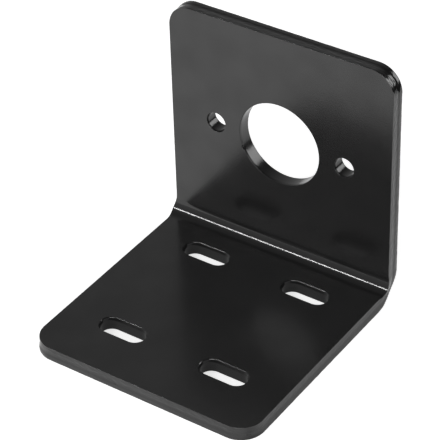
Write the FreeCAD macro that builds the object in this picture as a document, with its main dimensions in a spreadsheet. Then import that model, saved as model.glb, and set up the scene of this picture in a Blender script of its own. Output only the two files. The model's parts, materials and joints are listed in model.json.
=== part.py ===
import FreeCAD, Part
import math
import os
import Sketcher

# Motor mounting bracket: one plate folded to a right angle.
# X runs along the bend, the base lies in XY and reaches towards -Y, the upright stands at +Y.
# Z is up and the origin is under the middle of the base. All sizes are in mm.

SIZES = {
    # plate
    "plate_width": 50.0,
    "base_depth": 52.0,
    "upright_height": 52.0,
    "plate_thickness": 3.0,
    "corner_radius": 5.0,
    "edge_rounding": 0.5,
    "hole_rim_break": 0.3,
    # fold: the metal that it squeezes out swells both ends of the inner bend
    "bend_inner_radius": 3.0,
    "bend_outer_radius": 7.0,
    "ear_swell": 0.5,
    "ear_reach": 3.0,
    # motor face in the upright
    "shaft_height": 28.0,
    "pilot_bore": 17.8,
    "screw_spacing": 29.0,
    "screw_hole": 4.2,
    # four slots in the base, long across the plate
    "slot_width": 4.2,
    "slot_length": 10.0,
    "slot_spacing_across": 23.0,
    "slot_spacing_deep": 28.0,
    "slot_front_margin": 12.0,
}

FREE_CORNERS = 4
# two faces that turn from each other by more than this meet at an edge
EDGE_TURN = math.radians(30)
# lengths and volumes closer than this are the same
NEAR = 1e-4

# words for the numbers that a sketch gives to the points of a line or arc, and to its own axes
POINTS = ("edge", "start", "end", "centre")
AXES = ("horizontal", "vertical")
ORIGIN = ("horizontal", "start")

doc = FreeCAD.newDocument("motor_mounting_bracket")


# sheet and sketch helpers

def make_sheet():
    cells = doc.addObject("Spreadsheet::Sheet", "sizes")
    for row, (name, value) in enumerate(SIZES.items(), start=1):
        cells.set(f"A{row}", name)
        cells.set(f"B{row}", str(value))
        cells.setAlias(f"B{row}", name)
    doc.recompute()


def origin_item(body, role):
    return next(item for item in body.Origin.OriginFeatures if item.Role == role)


def add_sketch(body, name, role):
    sketch = body.newObject("Sketcher::SketchObject", name)
    sketch.AttachmentSupport = [(origin_item(body, role), "")]
    sketch.MapMode = "FlatFace"
    return sketch


def point(x, y):
    return FreeCAD.Vector(x, y, 0)


def circle(x, y, radius):
    return Part.Circle(point(x, y), FreeCAD.Vector(0, 0, 1), radius)


def in_sketch(item):
    if item in POINTS:
        return POINTS.index(item)
    if item in AXES:
        return -1 - AXES.index(item)
    return item


def rule(kind, *items):
    """Sketch constraint that takes words for points and axes."""
    return Sketcher.Constraint(kind, *(in_sketch(item) for item in items))


def bind(sketch, name, expression, constraint):
    """Add a driving constraint and tie it to the sheet."""
    index = sketch.addConstraint(constraint)
    sketch.renameConstraint(index, name)
    sketch.setExpression(f"Constraints.{name}", expression)


# checks

def require_healthy(step):
    for item in doc.Objects:
        if "Invalid" in item.State or "Error" in item.State:
            raise RuntimeError(f"{step}: {item.Name} did not recompute: {item.State}")


def require_cut(step, body, before):
    """A pocket or groove that points away from the solid cuts nothing and shows no error."""
    doc.recompute()
    require_healthy(step)
    after = body.Shape.Volume
    if after > before - NEAR:
        raise RuntimeError(f"{step}: nothing was cut")
    return after


# folded plate

def add_profile(body):
    """Side view of the folded plate: eight corners and tangent points, with two bend arcs."""
    half = SIZES["base_depth"] / 2
    top = SIZES["upright_height"]
    wall = SIZES["plate_thickness"]
    inner = SIZES["bend_inner_radius"]
    outer = SIZES["bend_outer_radius"]
    face = half - wall
    sketch = add_sketch(body, "bent_profile", "YZ_Plane")
    underside = sketch.addGeometry(Part.LineSegment(point(-half, 0), point(half - outer, 0)))
    outer_bend = sketch.addGeometry(
        Part.ArcOfCircle(circle(half - outer, outer, outer), 1.5 * math.pi, 2 * math.pi))
    back = sketch.addGeometry(Part.LineSegment(point(half, outer), point(half, top)))
    top_edge = sketch.addGeometry(Part.LineSegment(point(half, top), point(face, top)))
    front = sketch.addGeometry(Part.LineSegment(point(face, top), point(face, wall + inner)))
    inner_bend = sketch.addGeometry(
        Part.ArcOfCircle(circle(face - inner, wall + inner, inner), 1.5 * math.pi, 2 * math.pi))
    floor = sketch.addGeometry(Part.LineSegment(point(face - inner, wall), point(-half, wall)))
    front_edge = sketch.addGeometry(Part.LineSegment(point(-half, wall), point(-half, 0)))
    for constraint in (
        rule("Tangent", underside, "end", outer_bend, "start"),
        rule("Tangent", outer_bend, "end", back, "start"),
        rule("Coincident", back, "end", top_edge, "start"),
        rule("Coincident", top_edge, "end", front, "start"),
        rule("Tangent", front, "end", inner_bend, "end"),
        rule("Tangent", inner_bend, "start", floor, "start"),
        rule("Coincident", floor, "end", front_edge, "start"),
        rule("Coincident", front_edge, "end", underside, "start"),
        rule("Vertical", back),
        rule("Horizontal", top_edge),
        rule("Vertical", front),
        rule("Horizontal", floor),
        rule("Vertical", front_edge),
        rule("PointOnObject", underside, "start", "horizontal"),
        rule("PointOnObject", underside, "end", "horizontal"),
    ):
        sketch.addConstraint(constraint)
    bind(sketch, "front_reach", "sizes.base_depth / 2",
         rule("DistanceX", underside, "start", *ORIGIN, half))
    bind(sketch, "depth", "sizes.base_depth",
         rule("DistanceX", underside, "start", back, "end", 2 * half))
    bind(sketch, "height", "sizes.upright_height",
         rule("DistanceY", *ORIGIN, back, "end", top))
    bind(sketch, "upright_wall", "sizes.plate_thickness",
         rule("DistanceX", top_edge, "end", top_edge, "start", wall))
    bind(sketch, "base_wall", "sizes.plate_thickness",
         rule("DistanceY", front_edge, "end", front_edge, "start", wall))
    bind(sketch, "outer_radius", "sizes.bend_outer_radius", rule("Radius", outer_bend, outer))
    bind(sketch, "inner_radius", "sizes.bend_inner_radius", rule("Radius", inner_bend, inner))
    return sketch


def add_plate(body):
    """Folded plate, padded out to the tips of its two ears."""
    pad = body.newObject("PartDesign::Pad", "folded_plate")
    pad.Profile = add_profile(body)
    pad.SideType = "Symmetric"
    pad.setExpression("Length", "sizes.plate_width + 2 * sizes.ear_swell")
    doc.recompute()
    require_healthy("folded plate")


def add_ears(body):
    """Trim both ends flat, but leave a smooth swelling round the middle of the inner bend."""
    end = SIZES["plate_width"] / 2
    swell = SIZES["ear_swell"]
    reach = SIZES["ear_reach"]
    beyond = SIZES["base_depth"] + SIZES["upright_height"]
    turn = (reach ** 2 + swell ** 2) / (4 * swell)
    lean = math.asin(reach / 2 / turn)
    sketch = add_sketch(body, "end_trim", "XY_Plane")
    sketch.setExpression(
        "AttachmentOffset.Base.y",
        "sizes.base_depth / 2 - sizes.plate_thickness - sizes.bend_inner_radius * (1 - cos(45 deg))")
    sketch.setExpression(
        "AttachmentOffset.Base.z",
        "sizes.plate_thickness + sizes.bend_inner_radius * (1 - cos(45 deg))")
    crest = sketch.addGeometry(Part.ArcOfCircle(circle(end + swell - turn, 0, turn), 0, lean))
    foot = sketch.addGeometry(
        Part.ArcOfCircle(circle(end + turn, reach, turn), math.pi, math.pi + lean))
    flat = sketch.addGeometry(Part.LineSegment(point(end, reach), point(end, beyond)))
    rim = sketch.addGeometry(Part.LineSegment(point(end, beyond), point(end + 2 * swell, beyond)))
    outside = sketch.addGeometry(
        Part.LineSegment(point(end + 2 * swell, beyond), point(end + 2 * swell, 0)))
    axis = sketch.addGeometry(Part.LineSegment(point(end + 2 * swell, 0), point(end + swell, 0)))
    for constraint in (
        rule("PointOnObject", crest, "centre", "horizontal"),
        rule("PointOnObject", crest, "start", "horizontal"),
        rule("Tangent", crest, "end", foot, "end"),
        rule("Tangent", foot, "start", flat, "start"),
        rule("Equal", crest, foot),
        rule("Vertical", flat),
        rule("Coincident", flat, "end", rim, "start"),
        rule("Horizontal", rim),
        rule("Coincident", rim, "end", outside, "start"),
        rule("Vertical", outside),
        rule("Coincident", outside, "end", axis, "start"),
        rule("PointOnObject", axis, "start", "horizontal"),
        rule("Coincident", axis, "end", crest, "start"),
    ):
        sketch.addConstraint(constraint)
    bind(sketch, "end_face", "sizes.plate_width / 2", rule("DistanceX", *ORIGIN, flat, "start", end))
    bind(sketch, "ear_height", "sizes.ear_swell", rule("DistanceX", flat, "start", crest, "start", swell))
    bind(sketch, "ear_radius", "sizes.ear_reach", rule("DistanceY", *ORIGIN, flat, "start", reach))
    bind(sketch, "clear_height", "sizes.ear_swell", rule("DistanceX", crest, "start", axis, "start", swell))
    bind(sketch, "clear_radius", "sizes.base_depth + sizes.upright_height",
         rule("DistanceY", *ORIGIN, flat, "end", beyond))
    volume = body.Shape.Volume
    trim = body.newObject("PartDesign::Groove", "right_end")
    trim.Profile = sketch
    trim.ReferenceAxis = (sketch, ["H_Axis"])
    trim.Angle = 360
    volume = require_cut("right end", body, volume)
    mirror = body.newObject("PartDesign::Mirrored", "left_end")
    mirror.Originals = [trim]
    mirror.MirrorPlane = (origin_item(body, "YZ_Plane"), [""])
    body.Tip = mirror
    require_cut("left end", body, volume)


# corners

def near(value, target):
    return abs(value - target) < NEAR


def plate_corners(shape):
    """Names of the four edges that cross the plate at its free corners."""
    end = SIZES["plate_width"] / 2
    names = []
    for number, edge in enumerate(shape.Edges, start=1):
        middle = edge.CenterOfMass
        at_front = near(middle.y, -SIZES["base_depth"] / 2) and near(middle.z, SIZES["plate_thickness"] / 2)
        at_top = near(middle.z, SIZES["upright_height"])
        if near(abs(middle.x), end) and (at_front or at_top):
            names.append(f"Edge{number}")
    return names


def sharp_edges(shape):
    """Names of the edges where two faces meet at an angle, without the lines where they run on smoothly."""
    names = []
    for number, edge in enumerate(shape.Edges, start=1):
        faces = shape.ancestorsOfType(edge, Part.Face)
        if len(faces) != 2:
            continue
        middle = edge.valueAt((edge.FirstParameter + edge.LastParameter) / 2)
        normals = [face.normalAt(*face.Surface.parameter(middle)) for face in faces]
        if normals[0].getAngle(normals[1]) > EDGE_TURN:
            names.append(f"Edge{number}")
    return names


def dress_edges(body, kind, name, names, size, expression):
    """Fillet or chamfer these edges of the body's last feature."""
    base = body.Tip
    volume = body.Shape.Volume
    dressing = body.newObject(f"PartDesign::{kind}", name)
    dressing.Base = (base, names)
    dressing.setExpression(size, expression)
    require_cut(name, body, volume)


def round_outline(body):
    """Round the plate's free corners, then every edge of its outline."""
    names = plate_corners(body.Shape)
    if len(names) != FREE_CORNERS:
        raise RuntimeError(f"corners: found {len(names)} edges, not {FREE_CORNERS}")
    dress_edges(body, "Fillet", "free_corners", names, "Radius", "sizes.corner_radius")
    dress_edges(body, "Fillet", "coated_edges", sharp_edges(body.Shape), "Radius", "sizes.edge_rounding")


# holes

def cut_through(body, sketch, name, reverse):
    """Pocket right through the wall that lies on the sketch's chosen side."""
    volume = body.Shape.Volume
    pocket = body.newObject("PartDesign::Pocket", name)
    pocket.Profile = sketch
    pocket.Type = "ThroughAll"
    pocket.Reversed = reverse
    require_cut(name, body, volume)
    return pocket


def cut_motor_face(body):
    """Pilot bore for the motor's boss, with a screw hole on either side at the same height."""
    height = SIZES["shaft_height"]
    sketch = add_sketch(body, "motor_face", "XZ_Plane")
    bore = sketch.addGeometry(circle(0, height, SIZES["pilot_bore"] / 2))
    sketch.addConstraint(rule("PointOnObject", bore, "centre", "vertical"))
    bind(sketch, "bore_height", "sizes.shaft_height", rule("DistanceY", *ORIGIN, bore, "centre", height))
    bind(sketch, "bore_size", "sizes.pilot_bore", rule("Diameter", bore, SIZES["pilot_bore"]))
    reach = SIZES["screw_spacing"] / 2
    for side, sign in (("left", -1), ("right", 1)):
        hole = sketch.addGeometry(circle(sign * reach, height, SIZES["screw_hole"] / 2))
        sketch.addConstraint(rule("Horizontal", bore, "centre", hole, "centre"))
        ends = (hole, "centre", bore, "centre") if sign < 0 else (bore, "centre", hole, "centre")
        bind(sketch, f"{side}_reach", "sizes.screw_spacing / 2", rule("DistanceX", *ends, reach))
        bind(sketch, f"{side}_size", "sizes.screw_hole", rule("Diameter", hole, SIZES["screw_hole"]))
    cut_through(body, sketch, "motor_holes", False)


def cut_slots(body):
    """One slot near the front left corner of the base, repeated across and towards the bend."""
    across = SIZES["slot_spacing_across"] / 2
    width = SIZES["slot_width"]
    half = (SIZES["slot_length"] - width) / 2
    place = -SIZES["base_depth"] / 2 + SIZES["slot_front_margin"]
    sketch = add_sketch(body, "base_slot", "XY_Plane")
    left = sketch.addGeometry(
        Part.ArcOfCircle(circle(-across - half, place, width / 2), 0.5 * math.pi, 1.5 * math.pi))
    lower = sketch.addGeometry(Part.LineSegment(
        point(-across - half, place - width / 2), point(-across + half, place - width / 2)))
    right = sketch.addGeometry(
        Part.ArcOfCircle(circle(-across + half, place, width / 2), 1.5 * math.pi, 2.5 * math.pi))
    upper = sketch.addGeometry(Part.LineSegment(
        point(-across + half, place + width / 2), point(-across - half, place + width / 2)))
    for constraint in (
        rule("Tangent", left, "end", lower, "start"),
        rule("Tangent", lower, "end", right, "start"),
        rule("Tangent", right, "end", upper, "start"),
        rule("Tangent", upper, "end", left, "start"),
        rule("Equal", left, right),
        rule("Horizontal", lower),
    ):
        sketch.addConstraint(constraint)
    bind(sketch, "half_width", "sizes.slot_width / 2", rule("Radius", left, width / 2))
    bind(sketch, "centre_run", "sizes.slot_length - sizes.slot_width",
         rule("DistanceX", left, "centre", right, "centre", 2 * half))
    bind(sketch, "inner_end", "(sizes.slot_spacing_across - sizes.slot_length + sizes.slot_width) / 2",
         rule("DistanceX", right, "centre", *ORIGIN, across - half))
    bind(sketch, "front_reach", "sizes.base_depth / 2 - sizes.slot_front_margin",
         rule("DistanceY", left, "centre", *ORIGIN, -place))
    slot = cut_through(body, sketch, "front_left_slot", True)
    volume = body.Shape.Volume
    pattern = body.newObject("PartDesign::LinearPattern", "four_slots")
    pattern.Originals = [slot]
    pattern.Direction = (origin_item(body, "X_Axis"), [""])
    pattern.Occurrences = 2
    pattern.setExpression("Length", "sizes.slot_spacing_across")
    pattern.Direction2 = (origin_item(body, "Y_Axis"), [""])
    pattern.Occurrences2 = 2
    pattern.setExpression("Length2", "sizes.slot_spacing_deep")
    body.Tip = pattern
    require_cut("four slots", body, volume)


def break_rims(body):
    """Break both rims of every hole. The outline is round by now, so only the rims are sharp."""
    dress_edges(body, "Chamfer", "broken_rims", sharp_edges(body.Shape), "Size", "sizes.hole_rim_break")


# build and write

make_sheet()
bracket = doc.addObject("PartDesign::Body", "motor_bracket")
bracket.Label = "motor_bracket"
add_plate(bracket)
add_ears(bracket)
round_outline(bracket)
cut_motor_face(bracket)
cut_slots(bracket)
break_rims(bracket)

doc.recompute()
require_healthy("bracket")
if bracket.Shape.isNull() or not bracket.Shape.isValid() or len(bracket.Shape.Solids) != 1:
    raise RuntimeError("bracket: its shape is not one valid solid")
os.makedirs("parts", exist_ok=True)
bracket.Shape.exportStep(os.path.join("parts", f"{bracket.Label}.step"))
box = bracket.Shape.BoundBox
print(f"{bracket.Label}: {box.XLength:.2f} x {box.YLength:.2f} x {box.ZLength:.2f} mm, "
      f"{bracket.Shape.Volume:.1f} mm3, {len(bracket.Shape.Faces)} faces")
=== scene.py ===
import itertools
import json
import math

import bmesh
import bpy
from mathutils import Matrix, Vector


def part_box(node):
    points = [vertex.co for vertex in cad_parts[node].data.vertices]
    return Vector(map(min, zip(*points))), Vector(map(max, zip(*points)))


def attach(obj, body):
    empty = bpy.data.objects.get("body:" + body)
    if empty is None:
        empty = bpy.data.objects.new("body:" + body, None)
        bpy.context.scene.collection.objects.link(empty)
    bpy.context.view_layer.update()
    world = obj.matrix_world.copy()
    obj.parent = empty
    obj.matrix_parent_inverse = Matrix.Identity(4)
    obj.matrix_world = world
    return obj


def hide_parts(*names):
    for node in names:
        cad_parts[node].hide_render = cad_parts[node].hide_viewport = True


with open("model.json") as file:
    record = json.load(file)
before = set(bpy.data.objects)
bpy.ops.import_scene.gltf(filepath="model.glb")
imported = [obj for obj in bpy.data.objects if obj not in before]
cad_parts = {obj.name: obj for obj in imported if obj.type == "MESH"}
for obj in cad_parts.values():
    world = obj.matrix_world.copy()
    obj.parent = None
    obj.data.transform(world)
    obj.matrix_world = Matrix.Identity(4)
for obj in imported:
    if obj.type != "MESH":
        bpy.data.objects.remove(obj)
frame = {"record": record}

mm = 0.001
near = 1e-7                      # in metres; places closer together than this are the same
quarter = math.pi / 2
diagonal = math.sqrt(0.5)        # sine and cosine of 45 degrees
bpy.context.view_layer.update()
scene = bpy.context.scene
lowCorner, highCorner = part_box("motor_bracket")
mounts = {mount["name"]: mount for mount in frame["record"]["mounts"]}


# small helpers; a value for a node is a number, or what another node puts out

def link(tree, start, end):
    tree.links.new(start, end)


def feed(tree, sockets, values):
    for socket, value in zip(sockets, values):
        if isinstance(value, bpy.types.NodeSocket):
            link(tree, value, socket)
        else:
            socket.default_value = value


def addNode(tree, kind, place=(0, 0), **settings):
    node = tree.nodes.new(kind)
    node.location = place
    for name, value in settings.items():
        setattr(node, name, value)
    return node


def mathNode(tree, place, operation, *values):
    node = addNode(tree, "ShaderNodeMath", place, operation=operation)
    feed(tree, node.inputs, values)
    return node.outputs[0]


def rangeNode(tree, place, value, fromLimits, toLimits, kind="LINEAR"):
    node = addNode(tree, "ShaderNodeMapRange", place, interpolation_type=kind)
    feed(tree, node.inputs, (value, *fromLimits, *toLimits))
    return node.outputs[0]


def partsNode(tree, place, vector):
    node = addNode(tree, "ShaderNodeSeparateXYZ", place)
    link(tree, vector, node.inputs[0])
    return node.outputs


def colourNode(tree, place, share, first, second):
    node = addNode(tree, "ShaderNodeMix", place, data_type="RGBA")
    colours = [socket for socket in node.inputs if socket.type == "RGBA"]
    feed(tree, (node.inputs[0], *colours), (share, first, second))
    return next(socket for socket in node.outputs if socket.type == "RGBA")


def seenNode(tree, place, path):
    # 1 for what the camera looks at, 0 for what only lights it or mirrors in it
    return mathNode(tree, place, "MAXIMUM", path["Is Camera Ray"], path["Is Transmission Ray"])


def newMaterial(name):
    made = bpy.data.materials.new(name)
    made.use_nodes = True
    made.node_tree.nodes.clear()
    return made, made.node_tree


def turnedTo(place, target, roll=0.0):
    aim = (Vector(target) - Vector(place)).to_track_quat("-Z", "Y").to_matrix().to_4x4()
    return Matrix.Translation(place) @ aim @ Matrix.Rotation(roll, 4, "Z")


# gloss black coat: one thin smooth paint film, with a slight orange peel

coatLook = {
    "colour": (0.0066, 0.0066, 0.0068, 1),
    "thinColour": (0.009, 0.0088, 0.0087, 1),
    "ior": 1.6,
    "sheenSize": 6.0 * mm,
    "sheenNoise": (0.3, 0.7),    # where the noise mostly lies, spread over the next two
    "sheen": (0.46, 0.54),       # how strongly the film mirrors, thinnest and thickest patch
    "roughness": 0.195,
    "patchRoughness": 0.03,      # how much the roughness wanders over the skins
    "cutRoughness": -0.06,       # how much smoother the coat lies on the cut faces
    "bendRoughness": -0.08,      # and over the bend, where it is drawn tight
    "peelSize": 0.35 * mm,
    "peelHeight": 0.004 * mm,
    "waveSize": 3.5 * mm,
    "waveHeight": 0.008 * mm,
    "pitSize": 0.3 * mm,
    "pitHeight": 0.01 * mm,
    "softDetail": 1.0,           # octaves of noise in the sheen and the peel
    "fineDetail": 2.0,           # and in the waves and the pits
}


def makeCoat():
    made, tree = newMaterial("glossBlackCoat")
    place = addNode(tree, "ShaderNodeTexCoord", (-1300, 0)).outputs["Object"]

    def marked(name, row):
        return addNode(tree, "ShaderNodeAttribute", (-900, row), attribute_name=name).outputs["Fac"]

    def grain(size, detail, row):
        noise = addNode(tree, "ShaderNodeTexNoise", (-900, row))
        noise.inputs["Scale"].default_value = 1 / size
        noise.inputs["Detail"].default_value = detail
        link(tree, place, noise.inputs["Vector"])
        return noise.outputs[0]

    def calc(column, row, operation, *values):
        return mathNode(tree, (column, row), operation, *values)

    cutWall, bent = marked("cutWall", -500), marked("bent", -700)
    film = grain(coatLook["sheenSize"], coatLook["softDetail"], 600)
    peel = grain(coatLook["peelSize"], coatLook["softDetail"], 300)
    wave = grain(coatLook["waveSize"], coatLook["fineDetail"], 0)
    pits = grain(coatLook["pitSize"], coatLook["fineDetail"], -250)

    # relief: orange peel and slow waves everywhere, pits on the cut faces
    height = calc(-600, 300, "MULTIPLY", peel, coatLook["peelHeight"])
    height = calc(-400, 200, "MULTIPLY_ADD", wave, coatLook["waveHeight"], height)
    pitted = calc(-600, -250, "MULTIPLY", pits, cutWall)
    height = calc(-200, 100, "MULTIPLY_ADD", pitted, coatLook["pitHeight"], height)
    relief = addNode(tree, "ShaderNodeBump", (0, 0))
    relief.inputs["Strength"].default_value = 1.0
    relief.inputs["Distance"].default_value = 1.0
    link(tree, height, relief.inputs["Height"])

    smoothest = coatLook["roughness"] - coatLook["patchRoughness"] / 2
    rough = calc(-400, -100, "MULTIPLY_ADD", wave, coatLook["patchRoughness"], smoothest)
    rough = calc(-200, -150, "MULTIPLY_ADD", cutWall, coatLook["cutRoughness"], rough)
    rough = calc(0, -200, "MULTIPLY_ADD", bent, coatLook["bendRoughness"], rough)
    colour = colourNode(tree, (-200, 400), wave, coatLook["colour"], coatLook["thinColour"])
    sheen = rangeNode(tree, (-200, 600), film, coatLook["sheenNoise"], coatLook["sheen"])

    paint = addNode(tree, "ShaderNodeBsdfPrincipled", (300, 200))
    paint.inputs["IOR"].default_value = coatLook["ior"]
    link(tree, sheen, paint.inputs["Specular IOR Level"])
    link(tree, colour, paint.inputs["Base Color"])
    link(tree, rough, paint.inputs["Roughness"])
    link(tree, relief.outputs[0], paint.inputs["Normal"])
    out = addNode(tree, "ShaderNodeOutputMaterial", (600, 200))
    link(tree, paint.outputs[0], out.inputs["Surface"])
    return made


glossBlackCoat = makeCoat()
print("coat: done")


# flat blank, as it is cut from the sheet: u runs across, v from the front edge up to the top edge

plate = {
    "halfWidth": 25.0 * mm,
    "cornerRadius": 5.0 * mm,
    "flatBand": 0.15 * mm,       # narrow flat ring that keeps the shading of the rim off the big flats
    "pointStep": 0.25 * mm,
    "cornerPoints": 8,           # fewest points on a corner, on a round hole and on a slot's end
    "holePoints": 48,
    "slotEndPoints": 24,
}
# a cut face from the inner skin down: a crisp corner, perhaps a facet, the wall as (depth, inset)
# and a round outer edge; grain is its share of the streaks and pits
rims = {
    "outline": {
        "corner": 0.08 * mm, "facet": 0.0, "rounding": 0.3 * mm, "grain": 1.0,
        "wall": [(0.0, 0.17 * mm), (0.7 * mm, 0.15 * mm), (1.3 * mm, 0.165 * mm),
                 (1.55 * mm, 0.15 * mm), (2.1 * mm, 0.02 * mm), (2.4 * mm, 0.0)],
    },
    "round hole": {
        "corner": 0.06 * mm, "facet": 0.0, "rounding": 0.3 * mm, "grain": 0.2,
        "wall": [(0.0, 0.05 * mm), (0.4 * mm, 0.0)],
    },
    "slot": {
        "corner": 0.06 * mm, "facet": 0.15 * mm, "rounding": 0.3 * mm, "grain": 0.15,
        "wall": [(0.0, 0.08 * mm), (0.9 * mm, 0.0)],
    },
}
rimSteps = {"corner": 6, "wall": 0.12 * mm, "rounding": 6}
fold = {
    "innerRadius": 3.0 * mm,
    "outerRadius": 7.0 * mm,
    "run": 6.7 * mm,             # length of the bend on the flat blank
    "ease": 2.5 * mm,            # flat stretch on either side, where each skin slides to its own tangent
    "bendRows": 48,
    "easeRows": 6,
    "columns": 12,
}
# small dent in the bore's inner rim
ding = {"angle": math.radians(204), "reach": 0.55 * mm, "depth": 0.4 * mm, "down": 0.6 * mm}

plate["thickness"] = mounts["rear_face"]["pos_m"][1] - mounts["motor_seat"]["pos_m"][1]
plate["front"] = lowCorner.y
plate["back"] = highCorner.y
plate["top"] = highCorner.z


def foldPlaces():
    innerTangent = plate["back"] - plate["thickness"] - fold["innerRadius"]
    outerTangent = plate["back"] - fold["outerRadius"]
    middleRise = (fold["outerRadius"] + plate["thickness"] + fold["innerRadius"]) / 2
    fold["bendStart"] = (innerTangent + outerTangent) / 2 - plate["front"]
    fold["bendEnd"] = fold["bendStart"] + fold["run"]
    fold["easeStart"] = fold["bendStart"] - fold["ease"]
    fold["easeEnd"] = fold["bendEnd"] + fold["ease"]
    fold["easeEndHeight"] = middleRise + fold["ease"]
    plate["length"] = fold["easeEnd"] + plate["top"] - fold["easeEndHeight"]


foldPlaces()


# where a place on the folded bracket lies on the blank

def acrossAt(y):
    return y - plate["front"]


def upAt(z):
    return z - fold["easeEndHeight"] + fold["easeEnd"]


# every path leaves out its last point, which is the next one's first

def straight(start, end, count=None):
    start, end = Vector(start), Vector(end)
    count = count or max(1, round((end - start).length / plate["pointStep"]))
    return [start.lerp(end, step / count) for step in range(count)]


def arc(centre, radius, start, end, fewest):
    count = max(fewest, round(abs(end - start) * radius / plate["pointStep"]))
    angles = [start + (end - start) * step / count for step in range(count)]
    return [Vector(centre) + radius * Vector((math.cos(angle), math.sin(angle))) for angle in angles]


def outlineLoop():
    side, radius, length = plate["halfWidth"], plate["cornerRadius"], plate["length"]
    low, high = radius, length - radius
    inner = side - radius
    rows = [
        (low, fold["easeStart"], None),
        (fold["easeStart"], fold["bendStart"], fold["easeRows"]),
        (fold["bendStart"], fold["bendEnd"], fold["bendRows"]),
        (fold["bendEnd"], fold["easeEnd"], fold["easeRows"]),
        (fold["easeEnd"], high, None),
    ]

    def corner(centre, turn):
        return arc(centre, radius, turn * quarter, (turn + 1) * quarter, plate["cornerPoints"])

    loop = straight((-inner, 0), (inner, 0)) + corner((inner, low), -1)
    for start, end, count in rows:
        loop += straight((side, start), (side, end), count)
    loop += corner((inner, high), 0) + straight((inner, length), (-inner, length))
    loop += corner((-inner, high), 1)
    for start, end, count in reversed(rows):
        loop += straight((-side, end), (-side, start), count)
    return loop + corner((-inner, low), 2)


def circleLoop(centre, radius):
    return arc(centre, radius, 4 * quarter, 0, plate["holePoints"])


def slotLoop(centre, length, width):
    reach, radius = Vector((length / 2 - width / 2, 0)), width / 2
    left, right = centre - reach, centre + reach
    down = Vector((0, radius))
    return (straight(left + down, right + down)
            + arc(right, radius, quarter, -quarter, plate["slotEndPoints"])
            + straight(right - down, left - down)
            + arc(left, radius, -quarter, -3 * quarter, plate["slotEndPoints"]))


def boreCentre():
    place = mounts["pilot_bore"]["pos_m"]
    return Vector((place[0], upAt(place[2])))


def roundHoles():
    bore, screws = mounts["pilot_bore"]["dims"], mounts["motor_screws"]["dims"]
    reach = Vector((screws["spacing_x_mm"] / 2 * mm, 0))
    loops = [circleLoop(boreCentre(), bore["r_mm"] * mm)]
    loops += [circleLoop(boreCentre() + side * reach, screws["hole_r_mm"] * mm) for side in (-1, 1)]
    return loops


def slotHoles():
    place, dims = mounts["base_slots"]["pos_m"], mounts["base_slots"]["dims"]
    middle = Vector((place[0], acrossAt(place[1])))
    loops = []
    for across, deep in itertools.product((-1, 1), repeat=2):
        shift = Vector((across * dims["spacing_x_mm"], deep * dims["spacing_y_mm"])) / 2 * mm
        loops.append(slotLoop(middle + shift, dims["slot_length_mm"] * mm, 2 * dims["hole_r_mm"] * mm))
    return loops


def rimProfile(rim):
    # rows of (distance in from the cut, height, share of cut face), from the inner skin to the outer one
    thickness, corner, low = plate["thickness"], rim["corner"], rim["rounding"]
    slant = rim["facet"] * diagonal
    depth, inset = corner + slant, rim["wall"][0][1]
    rows = [(inset + slant + corner + plate["flatBand"], thickness, 0.0)]
    for step in range(rimSteps["corner"] + 1):
        turn = quarter * step / rimSteps["corner"]
        past = 2 * step > rimSteps["corner"]             # the facet lies halfway round the corner
        rows.append((inset + corner * (1 - math.sin(turn)) + (0 if past else slant),
                     thickness - corner * (1 - math.cos(turn)) - (slant if past else 0),
                     math.sin(turn) ** 2))
    for nextDepth, nextInset in rim["wall"][1:] + [(thickness - low, 0.0)]:
        count = max(1, round((nextDepth - depth) / rimSteps["wall"]))
        for step in range(1, count + 1):
            share = step / count
            eased = share * share * (3 - 2 * share)
            rows.append((inset + (nextInset - inset) * eased,
                         thickness - depth - (nextDepth - depth) * share, 1.0))
        depth, inset = nextDepth, nextInset
    for step in range(1, rimSteps["rounding"] + 1):
        turn = quarter * step / rimSteps["rounding"]
        rows.append((low * (1 - math.cos(turn)), low * (1 - math.sin(turn)), math.cos(turn) ** 2))
    return rows + [(low + plate["flatBand"], 0.0, 0.0)]


def dingAt(point, height):
    # how far the dent pushes the bore's rim back into the plate
    away = Vector((math.cos(ding["angle"]), math.sin(ding["angle"])))
    middle = boreCentre() + mounts["pilot_bore"]["dims"]["r_mm"] * mm * away
    along = max(0.0, 1 - ((point - middle).length / ding["reach"]) ** 2)
    down = max(0.0, 1 - (plate["thickness"] - height) / ding["down"])
    return ding["depth"] * along * down


def addRim(blank, layers, loop, rim):
    rings = []
    outward = []
    for index, point in enumerate(loop):
        along = loop[(index + 1) % len(loop)] - loop[index - 1]
        outward.append(Vector((along.y, -along.x)).normalized())
    for inset, height, share in rimProfile(rim):
        ring = []
        for point, out in zip(loop, outward):
            place = point - out * (inset + dingAt(point, height))
            vert = blank.verts.new((place.x, place.y, height))
            vert[layers["away"]] = (out.x, out.y, 0)
            vert[layers["cutWall"]] = share * rim["grain"]
            ring.append(vert)
        rings.append(ring)
    for upper, lower in zip(rings, rings[1:]):
        for index in range(len(loop)):
            blank.faces.new((upper[index - 1], upper[index], lower[index], lower[index - 1]))


def addFoldGrid(blank, layers, skin):
    # rows of faces across the bend, from the left rim to the right one
    def column(side):
        inside = [vert for vert in skin if fold["easeStart"] - near < vert.co.y < fold["easeEnd"] + near]
        return sorted((vert for vert in inside if side * vert.co.x > 0), key=lambda vert: vert.co.y)

    rows = []
    for first, last in zip(column(-1), column(1)):
        places = [first.co.lerp(last.co, step / fold["columns"]) for step in range(1, fold["columns"])]
        rows.append([first, *(blank.verts.new(place) for place in places), last])
        share = min(1.0, max(0.0, (first.co.y - fold["bendStart"]) / fold["run"]))
        for vert in rows[-1]:
            vert[layers["bent"]] = math.sin(math.pi * share)
    for lower, upper in zip(rows, rows[1:]):
        for index in range(fold["columns"]):
            blank.faces.new((lower[index], lower[index + 1], upper[index + 1], upper[index]))


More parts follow.
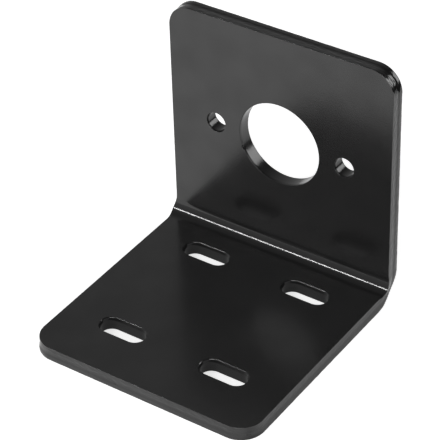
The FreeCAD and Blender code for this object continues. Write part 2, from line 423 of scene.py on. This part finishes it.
def fillPanel(blank, height, low, high):
    def inPanel(vert):
        return abs(vert.co.z - height) < near and low - near < vert.co.y < high + near

    edges = [edge for edge in blank.edges if edge.is_boundary and all(map(inPanel, edge.verts))]
    bmesh.ops.triangle_fill(blank, use_beauty=True, edges=edges, normal=(0, 0, 1))


def makeBlank():
    blank = bmesh.new()
    layers = {
        "away": blank.verts.layers.float_vector.new("away"),         # outwards from the cut, in the plate
        "cutWall": blank.verts.layers.float.new("cutWall"),          # 1 on cut faces
        "bent": blank.verts.layers.float.new("bent"),                # 1 in the middle of the bend
    }
    addRim(blank, layers, outlineLoop(), rims["outline"])
    for height in (plate["thickness"], 0):
        skin = {vert for edge in blank.edges if edge.is_boundary for vert in edge.verts
                if abs(vert.co.z - height) < near}
        addFoldGrid(blank, layers, skin)
    for loop in roundHoles():
        addRim(blank, layers, loop, rims["round hole"])
    for loop in slotHoles():
        addRim(blank, layers, loop, rims["slot"])
    for height in (plate["thickness"], 0):
        fillPanel(blank, height, 0, fold["easeStart"])
        fillPanel(blank, height, fold["easeEnd"], plate["length"])
    bmesh.ops.recalc_face_normals(blank, faces=blank.faces)
    for face in blank.faces:
        face.smooth = True
    openEdges = sum(1 for edge in blank.edges if not edge.is_manifold)
    mesh = bpy.data.meshes.new("flatBlank")
    blank.to_mesh(mesh)
    blank.free()
    print(f"blank: {len(mesh.polygons)} faces, {openEdges} open edges")
    return mesh


# folding: the rule that bends the blank, swells its ends at the inner bend and streaks its cut faces

ends = {
    "earSwell": 0.5 * mm,        # how far the squeezed inner skin stands out
    "earReach": 3.0 * mm,
    "skinDraw": 0.3 * mm,        # how far the stretched outer skin is drawn in
    "skinReach": 4.0 * mm,
    "startIn": 3.0 * mm,         # both begin this far in from the side
    "fullIn": 0.7 * mm,          # and have their full size from here on
}
streaks = {
    "cutDepth": 0.12 * mm,       # times how far the noise is under the level
    "level": 0.7,                # noise above it leaves the cut face as it is
    "length": 1.3 * mm,
    "width": 0.35 * mm,
    "detail": 1.0,
}


def newFoldTree():
    tree = bpy.data.node_groups.new("foldPlate", "GeometryNodeTree")
    tree.interface.new_socket("Blank", in_out="INPUT", socket_type="NodeSocketGeometry")
    tree.interface.new_socket("Bracket", in_out="OUTPUT", socket_type="NodeSocketGeometry")
    inputs = {
        "Thickness": plate["thickness"], "Half Width": plate["halfWidth"],
        "Front": plate["front"], "Back": plate["back"],
        "Inner Radius": fold["innerRadius"], "Outer Radius": fold["outerRadius"],
        "Bend Start": fold["bendStart"], "Bend End": fold["bendEnd"],
        "Ease Start": fold["easeStart"], "Ease End": fold["easeEnd"],
        "Ease End Height": fold["easeEndHeight"],
        "Ear Swell": ends["earSwell"], "Ear Reach": ends["earReach"],
        "Skin Draw": ends["skinDraw"], "Skin Reach": ends["skinReach"],
        "Start In": ends["startIn"], "Full In": ends["fullIn"],
        "Cut Depth": streaks["cutDepth"], "Streak Level": streaks["level"],
        "Streak Length": streaks["length"], "Streak Width": streaks["width"],
    }
    for name in inputs:
        tree.interface.new_socket(name, in_out="INPUT", socket_type="NodeSocketFloat")
    tree.interface.new_socket("Coat", in_out="INPUT", socket_type="NodeSocketMaterial")
    return tree, inputs


def makeFoldTree():
    tree, inputs = newFoldTree()
    given = addNode(tree, "NodeGroupInput", (-1600, 0)).outputs
    places = ((-1400 + 170 * (step // 8), 500 - 160 * (step % 8)) for step in itertools.count(1))

    def calc(operation, *values):
        return mathNode(tree, next(places), operation, *values)

    def ramp(value, fromLimits, toLimits, kind="LINEAR"):
        return rangeNode(tree, next(places), value, fromLimits, toLimits, kind)

    def parts(vector):
        return partsNode(tree, next(places), vector)

    def whole(*values):
        node = addNode(tree, "ShaderNodeCombineXYZ", next(places))
        feed(tree, node.inputs, values)
        return node.outputs[0]

    def marked(name, kind):
        node = addNode(tree, "GeometryNodeInputNamedAttribute", next(places), data_type=kind)
        node.inputs["Name"].default_value = name
        return next(socket for socket in node.outputs if socket.enabled)

    def moved(geometry, position):
        node = addNode(tree, "GeometryNodeSetPosition", next(places))
        feed(tree, (node.inputs["Geometry"], node.inputs["Position"]), (geometry, position))
        return node.outputs[0]

    def blendOf(outer, inner, share):
        return calc("MULTIPLY_ADD", calc("SUBTRACT", inner, outer), share, outer)

    # short shallow streaks in the cut faces, drawn along the edge
    position = addNode(tree, "GeometryNodeInputPosition", next(places)).outputs[0]
    u, v, w = parts(position)
    noise = addNode(tree, "ShaderNodeTexNoise", next(places))
    noise.inputs["Scale"].default_value = 1.0
    noise.inputs["Detail"].default_value = streaks["detail"]
    link(tree, whole(calc("DIVIDE", u, given["Streak Length"]), calc("DIVIDE", v, given["Streak Length"]),
                     calc("DIVIDE", w, given["Streak Width"])), noise.inputs["Vector"])
    inward = calc("MINIMUM", calc("SUBTRACT", noise.outputs[0], given["Streak Level"]), 0.0)
    streak = calc("MULTIPLY", calc("MULTIPLY", inward, given["Cut Depth"]), marked("cutWall", "FLOAT"))
    awayU, awayV, _ = parts(marked("away", "FLOAT_VECTOR"))
    streaked = moved(given["Blank"], whole(calc("MULTIPLY_ADD", awayU, streak, u),
                                           calc("MULTIPLY_ADD", awayV, streak, v), w))

    # fold: both skins turn on their own centres, by the same angle
    u, v, w = parts(position)
    share = calc("DIVIDE", w, given["Thickness"])
    innerSkin = calc("SUBTRACT", given["Back"], given["Thickness"])
    innerY = calc("SUBTRACT", innerSkin, given["Inner Radius"])
    innerZ = calc("ADD", given["Thickness"], given["Inner Radius"])
    outerY, outerZ = calc("SUBTRACT", given["Back"], given["Outer Radius"]), given["Outer Radius"]
    centreY, centreZ = blendOf(outerY, innerY, share), blendOf(outerZ, innerZ, share)
    radius = blendOf(given["Outer Radius"], given["Inner Radius"], share)
    angle = ramp(v, (given["Bend Start"], given["Bend End"]), (0.0, quarter))
    easeY = calc("ADD", given["Front"], given["Ease Start"])
    backRun = calc("MULTIPLY_ADD", calc("SUBTRACT", centreY, easeY),
                   ramp(v, (given["Ease Start"], given["Bend Start"]), (1.0, 0.0)),
                   calc("MAXIMUM", calc("SUBTRACT", given["Ease Start"], v), 0.0))
    upRun = calc("MULTIPLY_ADD", calc("SUBTRACT", given["Ease End Height"], centreZ),
                 ramp(v, (given["Bend End"], given["Ease End"]), (0.0, 1.0)),
                 calc("MAXIMUM", calc("SUBTRACT", v, given["Ease End"]), 0.0))
    y = calc("SUBTRACT", calc("MULTIPLY_ADD", radius, calc("SINE", angle), centreY), backRun)
    z = calc("ADD", calc("SUBTRACT", centreZ, calc("MULTIPLY", radius, calc("COSINE", angle))), upRun)

    # ends: pushed out round the middle of the inner bend, drawn in at the outer skin
    def nearBend(skinRadius, skinY, skinZ, reach, amount):
        gapY = calc("SUBTRACT", y, calc("MULTIPLY_ADD", skinRadius, diagonal, skinY))
        gapZ = calc("SUBTRACT", z, calc("MULTIPLY_ADD", skinRadius, -diagonal, skinZ))
        gap = calc("SQRT", calc("ADD", calc("MULTIPLY", gapY, gapY), calc("MULTIPLY", gapZ, gapZ)))
        return ramp(gap, (0.0, reach), (amount, 0.0), "SMOOTHSTEP")

    swell = nearBend(given["Inner Radius"], innerY, innerZ, given["Ear Reach"], given["Ear Swell"])
    draw = nearBend(given["Outer Radius"], outerY, outerZ, given["Skin Reach"], given["Skin Draw"])
    startAt = calc("SUBTRACT", given["Half Width"], given["Start In"])
    fullAt = calc("SUBTRACT", given["Half Width"], given["Full In"])
    atEnd = ramp(calc("ABSOLUTE", u), (startAt, fullAt), (0.0, 1.0))
    push = calc("MULTIPLY", calc("MULTIPLY", calc("SIGN", u), atEnd), calc("SUBTRACT", swell, draw))
    folded = moved(streaked, whole(calc("ADD", u, push), y, z))

    real = addNode(tree, "GeometryNodeRealizeInstances", (1400, 0))
    coated = addNode(tree, "GeometryNodeSetMaterial", (1600, 0))
    out = addNode(tree, "NodeGroupOutput", (1800, 0))
    link(tree, folded, real.inputs[0])
    link(tree, real.outputs[0], coated.inputs["Geometry"])
    link(tree, given["Coat"], coated.inputs["Material"])
    link(tree, coated.outputs[0], out.inputs[0])
    return tree, inputs


def makeBracket():
    piece = bpy.data.objects.new("foldedBracket", makeBlank())
    scene.collection.objects.link(piece)
    tree, inputs = makeFoldTree()
    modifier = piece.modifiers.new("fold", "NODES")
    modifier.node_group = tree
    identifiers = {item.name: item.identifier
                   for item in tree.interface.items_tree if item.in_out == "INPUT"}
    for name, value in inputs.items():
        modifier[identifiers[name]] = value
    modifier[identifiers["Coat"]] = glossBlackCoat
    depsgraph = bpy.context.evaluated_depsgraph_get()
    mesh = bpy.data.meshes.new_from_object(piece.evaluated_get(depsgraph),
                                           preserve_all_data_layers=True, depsgraph=depsgraph)
    piece.modifiers.remove(modifier)
    piece.data = mesh
    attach(piece, "root")
    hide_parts("motor_bracket")
    return piece


foldedBracket = makeBracket()
print(f"bracket: {len(foldedBracket.data.polygons)} faces")


# floor: a pale sheet of paper, with a glow of its own that only the camera and the gloss see; for the
# gloss that glow carries painted shade, dimmer to the right, and a painted shadow under the plate, where
# the paper is also darkened

floorLook = {
    "left": -0.5,
    "right": 0.13,               # the paper ends here, past the picture's right edge
    "depth": 0.5,
    "colour": (0.86, 0.86, 0.86, 1),
    "roughness": 0.9,
    "cameraGlow": 0.75,          # what the camera sees on top of the lit paper
    # the glow the gloss sees dims from its first level to its second toward the right, over the x span
    # given below: painted shade on the floor right of the plate
    "glossGlow": (0.6, 0.42),    # what the gloss sees, at the two ends of the next line
    "paintedShadeFromTo": (0.0, 0.06),
    # the plate's footprint, shadeFromTo and shade below make a painted shadow under the plate for the
    # gloss: its glow is cut to the shade share and the paper darkened toward black
    "underPlate": (-25.5 * mm, 26.5 * mm, -25.5 * mm, 26.0 * mm),      # left, right, front, back
    "shadeFromTo": (-2.0 * mm, 1.5 * mm),
    "shade": 0.45,               # share of the glow that is left under the plate
}


def makePaper():
    made, tree = newMaterial("paleFloor")
    path = addNode(tree, "ShaderNodeLightPath", (-600, -200)).outputs
    spot = addNode(tree, "ShaderNodeTexCoord", (-1400, -500)).outputs["Object"]
    x, y, _ = partsNode(tree, (-1200, -500), spot)

    def calc(column, row, operation, *values):
        return mathNode(tree, (column, row), operation, *values)

    def past(row, value, low, high):
        # how far past the nearer of two edges, less than zero between them
        offMiddle = calc(-1000, row, "SUBTRACT", value, (low + high) / 2)
        return calc(-800, row, "SUBTRACT", calc(-900, row, "ABSOLUTE", offMiddle), (high - low) / 2)

    left, right, front, back = floorLook["underPlate"]
    # painted shadow mask: distance past the plate's footprint, turned into the share of the gloss glow
    # that is kept
    outside = calc(-700, -550, "MAXIMUM", past(-500, x, left, right), past(-650, y, front, back))
    clear = rangeNode(tree, (-600, -550), outside, floorLook["shadeFromTo"], (floorLook["shade"], 1.0))
    # painted shade: the gloss glow dims toward the right of the plate
    paintedShadeRight = rangeNode(tree, (-600, -800), x, floorLook["paintedShadeFromTo"], floorLook["glossGlow"])
    glossy = path["Is Glossy Ray"]
    gloss = calc(-200, -400, "MULTIPLY", calc(-400, -500, "MULTIPLY", glossy, clear), paintedShadeRight)
    seen = seenNode(tree, (-400, -200), path)
    glow = calc(0, -300, "MULTIPLY_ADD", seen, floorLook["cameraGlow"], gloss)
    # painted shadow: for the gloss, the paper's colour is darkened toward black under the plate
    shaded = calc(-200, -700, "MULTIPLY", glossy, calc(-400, -700, "SUBTRACT", 1.0, clear))
    colour = colourNode(tree, (0, 200), shaded, floorLook["colour"], (0, 0, 0, 1))

    paint = addNode(tree, "ShaderNodeBsdfPrincipled", (200, 0))
    paint.inputs["Roughness"].default_value = floorLook["roughness"]
    paint.inputs["Specular IOR Level"].default_value = 0.0
    paint.inputs["Emission Color"].default_value = (1, 1, 1, 1)
    link(tree, glow, paint.inputs["Emission Strength"])
    link(tree, colour, paint.inputs["Base Color"])
    out = addNode(tree, "ShaderNodeOutputMaterial", (600, 0))
    link(tree, paint.outputs[0], out.inputs["Surface"])
    return made


def makeFloor():
    left, right, depth = floorLook["left"], floorLook["right"], floorLook["depth"]
    corners = [(left, -depth, 0), (right, -depth, 0), (right, depth, 0), (left, depth, 0)]
    mesh = bpy.data.meshes.new("floor")
    mesh.from_pydata(corners, [], [(0, 1, 2, 3)])
    mesh.materials.append(makePaper())
    floor = bpy.data.objects.new("floor", mesh)
    scene.collection.objects.link(floor)


# studio walls: an even backdrop for the camera, and soft walls for the light and the gloss

wallLook = {
    "backdrop": 1.0,
    "turnFromTo": (-0.3, 0.3),   # the levels below change over this share of the direction
    "leftToRight": (1.0, 0.2),
    "frontToBack": (0.9, 1.0),
    # how bright the walls are, by height: (upward share of the direction, level)
    "rise": [(-0.05, 0.1), (0.0, 0.55), (0.6, 0.34), (0.76, 0.28), (0.87, 0.17)],
}


def makeWalls():
    world = bpy.data.worlds.new("studioWalls")
    world.use_nodes = True
    tree = world.node_tree
    tree.nodes.clear()
    direction = addNode(tree, "ShaderNodeTexCoord", (-1200, -200)).outputs["Generated"]
    across, deep, upward = partsNode(tree, (-1000, -200), direction)

    low, high = wallLook["rise"][0][0], wallLook["rise"][-1][0]
    rise = addNode(tree, "ShaderNodeValToRGB", (-600, -400))
    stops = rise.color_ramp.elements
    for place, level in wallLook["rise"][1:-1]:
        stops.new((place - low) / (high - low)).color = (level, level, level, 1)
    for stop, (_, level) in ((stops[0], wallLook["rise"][0]), (stops[-1], wallLook["rise"][-1])):
        stop.color = (level, level, level, 1)
    link(tree, rangeNode(tree, (-800, -400), upward, (low, high), (0, 1)), rise.inputs[0])
    side = rangeNode(tree, (-800, -100), across, wallLook["turnFromTo"], wallLook["leftToRight"])
    depth = rangeNode(tree, (-800, -250), deep, wallLook["turnFromTo"], wallLook["frontToBack"])
    around = mathNode(tree, (-300, -250), "MULTIPLY", side, depth)
    studio = mathNode(tree, (-100, -250), "MULTIPLY", around, rise.outputs[0])

    wall = addNode(tree, "ShaderNodeBackground", (0, 100))
    link(tree, studio, wall.inputs["Strength"])
    paper = addNode(tree, "ShaderNodeBackground", (0, -100))
    paper.inputs["Strength"].default_value = wallLook["backdrop"]
    for node in (wall, paper):
        node.inputs["Color"].default_value = (1, 1, 1, 1)
    path = addNode(tree, "ShaderNodeLightPath", (-200, 400)).outputs
    mix = addNode(tree, "ShaderNodeMixShader", (400, 0))
    feed(tree, mix.inputs, (seenNode(tree, (0, 300), path), wall.outputs[0], paper.outputs[0]))
    out = addNode(tree, "ShaderNodeOutputWorld", (600, 0))
    link(tree, mix.outputs[0], out.inputs["Surface"])
    scene.world = world


# lamps: each a rectangle that faces the middle of the bracket, from the given direction

lampTarget = (0, 0, 25 * mm)
lamps = {
    "stripLight": {"direction": (-0.433, -0.607, 0.667), "roll": math.radians(43), "distance": 1.0,
                   "width": 0.3, "height": 0.033, "radiance": 45.0},
    "backSoftbox": {"direction": (0.64, 0.67, 0.375), "roll": 0.0, "distance": 1.0,
                    "width": 0.36, "height": 0.55, "radiance": 3.55},
    "keyLight": {"direction": (0.35, -0.93, 0.26), "roll": 0.0, "distance": 1.5,
                 "width": 1.0, "height": 1.0, "radiance": 7.2},
}
# the strip's strength in its first mirror image and in an image of that, by the glossy depth
stripMirror = {"depthFromTo": (1.4, 1.6), "strength": (1.0, 0.004)}


def makeLamps():
    middle = Vector(lampTarget)
    for name, look in lamps.items():
        data = bpy.data.lights.new(name, "AREA")
        data.shape = "RECTANGLE"
        data.size = look["width"]
        data.size_y = look["height"]
        data.energy = look["radiance"] * math.pi * look["width"] * look["height"]
        lamp = bpy.data.objects.new(name, data)
        scene.collection.objects.link(lamp)
        place = middle + Vector(look["direction"]).normalized() * look["distance"]
        lamp.matrix_world = turnedTo(place, middle, look["roll"])
        lamp.visible_camera = False
    keepOffFlats(bpy.data.lights["stripLight"])


def keepOffFlats(light):
    # the strip shows in the fold and the rims, and only faintly where one flat mirrors the other
    light.use_nodes = True
    tree = light.node_tree
    lit = next(node for node in tree.nodes if node.type == "EMISSION")
    mirrored = addNode(tree, "ShaderNodeLightPath", (-500, 0)).outputs["Glossy Depth"]
    strength = rangeNode(tree, (-250, 0), mirrored, stripMirror["depthFromTo"], stripMirror["strength"])
    link(tree, strength, lit.inputs["Strength"])


makeFloor()
makeWalls()
makeLamps()
print("stage: done")


# camera, found by fitting the bracket's outline, holes and slots to the photograph

view = {
    "place": (183.515 * mm, -259.063 * mm, 259.629 * mm),
    "target": (1.657 * mm, 0.282 * mm, 25.027 * mm),
    "roll": math.radians(-1.686),
    "lens": 174.711,             # lens and sensor in mm
    "sensor": 36.0,
    "clip": (0.01, 50),          # nearest and farthest that it sees, in m
}


def makeCamera():
    data = bpy.data.cameras.new("viewCamera")
    data.sensor_width = view["sensor"]
    data.lens = view["lens"]
    data.clip_start, data.clip_end = view["clip"]
    camera = bpy.data.objects.new("viewCamera", data)
    scene.collection.objects.link(camera)
    camera.matrix_world = turnedTo(view["place"], view["target"], view["roll"])
    scene.camera = camera


makeCamera()
scene.view_settings.view_transform = "Standard"
print("camera: done")
